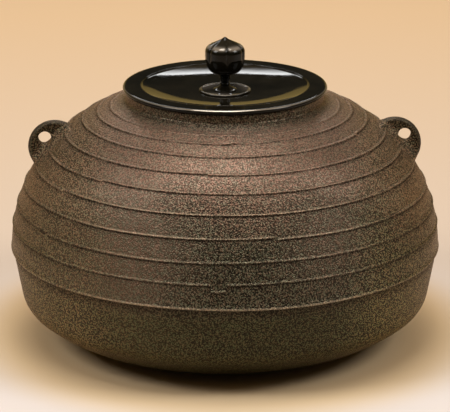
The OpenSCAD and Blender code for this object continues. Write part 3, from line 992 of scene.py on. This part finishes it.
def castSkinMaterial():
    # Sandy casting skin: grains and pits of about a millimetre, lighter and redder on the shoulder and
    # darker olive below it, partly its own colour and partly painted light from above, with painted
    # sheen and light on patches of the front and flanks; rubbed and lightened on the lines as wear and a
    # painted highlight, with painted shade under them; smooth on the lugs' rims, and plain dark iron
    # inside.
    material, tree, shader, place = newMaterial("sandyCastSkin")
    zones = skinZones(tree, place)
    tree.links.new(skinColour(tree, place, zones), shader.inputs["Base Color"])
    # roughness: finer on the grains, and duller under the lines, in the soot and in the grit
    roughness = addRange(tree, zones["sand"], castSkin["glossZone"], castSkin["roughness"])
    for zone, key in (("sunk", "hollowDull"), ("sooty", "sootDull"), ("gritty", "gritDull")):
        dull = addMath(tree, "MULTIPLY", zones[zone], castSkin[key])
        roughness = addMath(tree, "ADD", roughness, dull, True)
    tree.links.new(roughness, shader.inputs["Roughness"])
    shader.inputs["Metallic"].default_value = castSkin["metallic"]
    shader.inputs["Specular IOR Level"].default_value = castSkin["shine"]
    shader.inputs["Specular Tint"].default_value = (*castSkin["shineTint"], 1)
    # bump: the sand, weaker below the ridge and on the shoulder, stronger in the grit, none on the rims
    crisp = addRange(tree, zones["height"], castSkin["crispZone"], castSkin["crisp"])
    smooth = addMath(tree, "MULTIPLY", zones["ruddyAndLit"], castSkin["shoulderSmooth"])
    gritCrisp = addMath(tree, "MULTIPLY", zones["gritty"], castSkin["gritCrisp"])
    crisp = addMath(tree, "ADD", addMath(tree, "SUBTRACT", crisp, smooth), gritCrisp, True)
    strength = addBump(tree, shader, zones["sand"], castSkin["grainBump"])
    tree.links.new(addMath(tree, "SUBTRACT", crisp, zones["handled"], True), strength)
    return material


blackBronze = {
    "cloud": (34, 4.0, 0.6),
    "smear": (140, 3.0, 0.6),
    "tones": ((0.0040, 0.0036, 0.0022), (0.0110, 0.0088, 0.0050)),
    "stops": (0.35, 0.68),
    "bare": (0.56, 0.48, 0.39),
    "bareMetal": 0.85,
    "roughZone": (0.3, 0.7),
    "roughness": (0.035, 0.075),
    "ior": 1.28,
    "bump": 0.00003,
}


def blackBronzeMaterial():
    # polished black patina: near-black with brown clouds, a clear waxed gloss with faint smears, and
    # some of the metal showing where it is rubbed
    material, tree, shader, place = newMaterial("blackPatinaBronze")
    cloud = addNoise(tree, place, *blackBronze["cloud"])
    smear = addNoise(tree, place, *blackBronze["smear"])
    colour = addRamp(tree, cloud, blackBronze["stops"], blackBronze["tones"])
    rubbed = addMark(tree, "rubbed")
    metal = addMath(tree, "MULTIPLY", rubbed, blackBronze["bareMetal"])
    roughness = addRange(tree, smear, blackBronze["roughZone"], blackBronze["roughness"])
    tree.links.new(addMix(tree, rubbed, colour, blackBronze["bare"]), shader.inputs["Base Color"])
    tree.links.new(metal, shader.inputs["Metallic"])
    tree.links.new(roughness, shader.inputs["Roughness"])
    shader.inputs["IOR"].default_value = blackBronze["ior"]
    addBump(tree, shader, smear, blackBronze["bump"])
    return material


# forge scale: dark grey iron with rusty clouds and a fine scaly surface
forgedIron = {
    "noise": (210, 5.0, 0.65),
    "tones": ((0.028, 0.026, 0.024), (0.095, 0.052, 0.030)),
    "stops": (0.42, 0.70),
    "roughZone": (0.3, 0.7),
    "roughness": (0.5, 0.8),
    "metallic": 0.35,
    "bump": 0.0003,
}

# baked lacquer: dark brown, thinner and redder in patches, wavy and half glossy
bakedLacquer = {
    "noise": (130, 2.0, 0.5),
    "tones": ((0.012, 0.006, 0.004), (0.060, 0.026, 0.013)),
    "stops": (0.38, 0.68),
    "roughZone": (0.3, 0.7),
    "roughness": (0.28, 0.42),
    "metallic": 0.0,
    "bump": 0.0004,
}


def cloudyMaterial(name, finish):
    # one noise gives the colour between two tones, the roughness between two ends, and the bump
    material, tree, shader, place = newMaterial(name)
    noise = addNoise(tree, place, *finish["noise"])
    colour = addRamp(tree, noise, finish["stops"], finish["tones"])
    roughness = addRange(tree, noise, finish["roughZone"], finish["roughness"])
    tree.links.new(colour, shader.inputs["Base Color"])
    tree.links.new(roughness, shader.inputs["Roughness"])
    shader.inputs["Metallic"].default_value = finish["metallic"]
    addBump(tree, shader, noise, finish["bump"])
    return material


def dress(piece, material, slot, body, *nodes):
    # gives a new piece its finish, its body and the solids that it stands for
    piece.data.materials.append(material)
    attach(piece, body)
    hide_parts(*nodes)


def refinish(prefix, material):
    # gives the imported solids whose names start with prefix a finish
    for name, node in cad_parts.items():
        if name.startswith(prefix):
            node.data.materials.clear()
            node.data.materials.append(material)


studio = {
    "aim": (0, 0, 0.08),
    "keyPlace": (-0.06, -0.10, 1.50),
    "keySize": (0.8, 0.85),
    "keyPower": 12.6,
    "sidePlace": (1.25, -0.45, 1.20),
    "sideSize": (0.6, 0.6),
    "sidePower": 10.0,
    "backPlace": (0.0, 1.45, 1.07),
    "backSize": (1.15, 0.30),
    "backPower": 9.5,
    "dimRoom": (0.030, 0.028, 0.022),
    "screen": (0.48, 0.335, 0.108),
    "screenMiddle": 0.035,
    "screenHalf": 0.085,
    "screenTop": (0.165, 0.243),  # in its middle and at its sides
    "screenSoft": 0.012,
    "screenBehind": (-0.1, 0.35),
    "ceiling": (0.42, 0.30, 0.18),
    "ceilingFrom": (0.5, 0.75),
}

paper = {
    "size": 9.0,
    "span": (-1.0, 0.8),  # from the front to the back
    # tones from the front to the back: painted falloff of light at the front, a painted pool of light
    # near the kettle, and the tan of the paper at the back
    "stops": (0.25, 0.47, 0.65, 1.0),
    "tones": ((0.62, 0.50, 0.40), (0.79, 0.718, 0.676), (0.66, 0.535, 0.425), (0.81, 0.58, 0.355)),
    # a painted warm shade on the paper round the kettle, fading out over the next reach
    "warmShade": (1.0, 0.84, 0.56),
    "warmReach": (0.125, 0.168),
    "roughness": 0.9,
    "shine": 0.1,
}


def aimAt(thing, target):
    # turns a lamp or camera so that its own -Z looks at the target
    direction = np.asarray(target, float) - np.asarray(thing.location, float)
    yaw = math.atan2(direction[1], direction[0]) - math.pi / 2
    pitch = math.atan2(math.hypot(direction[0], direction[1]), -direction[2])
    thing.rotation_euler = (pitch, 0, yaw)


def addSoftbox(name, place, size, power, fades=False):
    # a square-cornered area lamp; one that fades goes from full at its lower edge to dark at the upper
    lamp = bpy.data.lights.new(name, "AREA")
    lamp.shape = "RECTANGLE"
    lamp.size, lamp.size_y = size
    lamp.energy = power
    if fades:
        lamp.use_nodes = True
        tree = lamp.node_tree
        _, up, _ = addSplit(tree, tree.nodes.new("ShaderNodeNewGeometry").outputs["Parametric"])
        strength = addRange(tree, up, (0.0, 1.0), (1.0, 0.0))
        tree.links.new(strength, tree.nodes["Emission"].inputs["Strength"])
    box = bpy.data.objects.new(name, lamp)
    box.location = place
    box.visible_camera = False
    aimAt(box, studio["aim"])
    bpy.context.collection.objects.link(box)


def makeFloor():
    # a square sheet of studio paper, with painted light and its falloff in its tones from front to back,
    # and a painted warm shade round the kettle
    half = paper["size"] / 2
    corners = [(-half, -half, 0), (half, -half, 0), (half, half, 0), (-half, half, 0)]
    mesh = bpy.data.meshes.new("studioPaper")
    mesh.from_pydata(corners, [], [(0, 1, 2, 3)])
    floor = bpy.data.objects.new("studioPaper", mesh)
    bpy.context.collection.objects.link(floor)
    material, tree, shader, place = newMaterial("palePaper")
    _, y, _ = addSplit(tree, place)
    away = addRange(tree, y, paper["span"], curve="LINEAR")
    colour = addRamp(tree, away, paper["stops"], paper["tones"])
    fromMiddle = tree.nodes.new("ShaderNodeVectorMath")
    fromMiddle.operation = "LENGTH"
    tree.links.new(place, fromMiddle.inputs[0])
    near = addRange(tree, fromMiddle.outputs["Value"], paper["warmReach"], (1.0, 0.0))
    colour = addMix(tree, near, colour, paper["warmShade"], "MULTIPLY")
    tree.links.new(colour, shader.inputs["Base Color"])
    shader.inputs["Roughness"].default_value = paper["roughness"]
    shader.inputs["Specular IOR Level"].default_value = paper["shine"]
    mesh.materials.append(material)


def makeRoom():
    # a paper screen low down behind the kettle, higher at its sides, a dim room, and a pale ceiling
    world = bpy.data.worlds.new("softRoom")
    world.use_nodes = True
    tree = world.node_tree
    x, y, z = addSplit(tree, tree.nodes.new("ShaderNodeTexCoord").outputs["Generated"])
    aside = addMath(tree, "SUBTRACT", x, studio["screenMiddle"])
    aside = addMath(tree, "ABSOLUTE", aside, 0.0)
    screenTop = addRange(tree, aside, (0.0, studio["screenHalf"]), studio["screenTop"])
    overTop = addMath(tree, "SUBTRACT", z, screenTop)
    low = addRange(tree, overTop, (-studio["screenSoft"], studio["screenSoft"]), (1.0, 0.0))
    behind = addRange(tree, y, studio["screenBehind"])
    room = addMix(tree, addMath(tree, "MULTIPLY", low, behind), studio["dimRoom"], studio["screen"])
    room = addMix(tree, addRange(tree, z, studio["ceilingFrom"]), room, studio["ceiling"])
    tree.links.new(room, tree.nodes["Background"].inputs["Color"])
    bpy.context.scene.world = world


def makeStudio():
    bpy.context.scene.view_settings.view_transform = "Standard"
    makeRoom()
    addSoftbox("overheadSoftbox", studio["keyPlace"], studio["keySize"], studio["keyPower"])
    addSoftbox("backSoftbox", studio["backPlace"], studio["backSize"], studio["backPower"], True)
    for side, name in ((-1, "left"), (1, "right")):
        place = np.array(studio["sidePlace"]) * (side, 1, 1)
        addSoftbox(name + "Softbox", place, studio["sideSize"], studio["sidePower"])
    makeFloor()
    print("studio ready")


viewpoint = {
    "turn": -2.1,
    "rise": 17.2,
    "distance": 1.7037,
    "target": (0.0, 0.0, 0.076),
    "lens": 233.4,
    "sensor": 36,
}


def makeCamera():
    # the camera stands at a turn from the front, a rise and a distance, and looks at the target
    turn = math.radians(viewpoint["turn"])
    rise = math.radians(viewpoint["rise"])
    away = np.array([math.sin(turn) * math.cos(rise), -math.cos(turn) * math.cos(rise), math.sin(rise)])
    lens = bpy.data.cameras.new("viewCamera")
    lens.lens = viewpoint["lens"]
    lens.sensor_width = viewpoint["sensor"]
    camera = bpy.data.objects.new("viewCamera", lens)
    camera.location = np.array(viewpoint["target"]) + viewpoint["distance"] * away
    aimAt(camera, viewpoint["target"])
    bpy.context.collection.objects.link(camera)
    bpy.context.scene.camera = camera
    print("camera ready")


makeCamera()
makeStudio()

skin = castSkinMaterial()
bronze = blackBronzeMaterial()
print("finishes ready")
dress(makeKettle(), skin, "cast_skin", "kettle", "kettle_body")
dress(makeLug("leftRingLug", -1), skin, "cast_skin", "kettle", "left_lug")
dress(makeLug("rightRingLug", 1), skin, "cast_skin", "kettle", "right_lug")
dress(makeLid(), bronze, "black_bronze", "lid", "lid")
dress(makeSeat(), bronze, "black_bronze", "lid", "knob_seat")
dress(makeKnob(), bronze, "black_bronze", "lid", "knob")
refinish("under_washer", bronze)
refinish("sounding_plate", cloudyMaterial("forgedIronScale", forgedIron))
refinish("lacquer_bed", cloudyMaterial("bakedLacquer", bakedLacquer))
